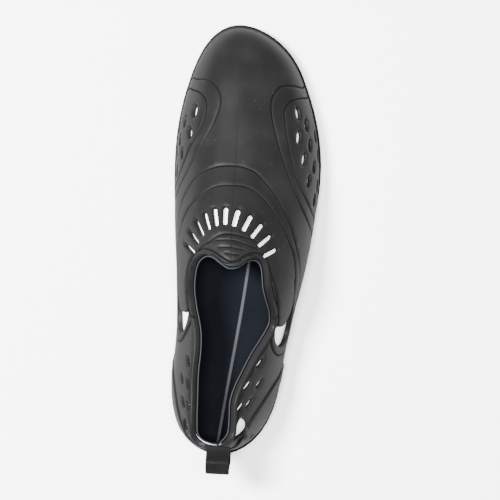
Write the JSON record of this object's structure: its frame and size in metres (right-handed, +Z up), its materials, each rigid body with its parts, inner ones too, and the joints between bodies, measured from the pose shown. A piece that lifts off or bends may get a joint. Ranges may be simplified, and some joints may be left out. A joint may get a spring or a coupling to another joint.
{
  "type": "water shoe",
  "caption": "Low slip-on water shoe with a thin moulded upper pierced by drain holes and vents, on a separate ribbed sole with a heel pull loop",
  "frame": {"origin": "on the floor, under the middle of the shoe's box, pull loop included", "axes": "+Y runs from heel to toe, +X to the outer side of the right foot, +Z up"},
  "size_m": [0.0966, 0.2918, 0.0788],
  "materials": {
    "upper": "satin moulded, black",
    "outsole": "matt, black",
    "insole": "dark navy knit",
    "pull_loop": "satin, black"
  },
  "bodies": {
    "root": {"upper": "upper", "outsole": "outsole", "insole": "insole", "pull_loop": "pull_loop"}
  },
  "joints": []
}
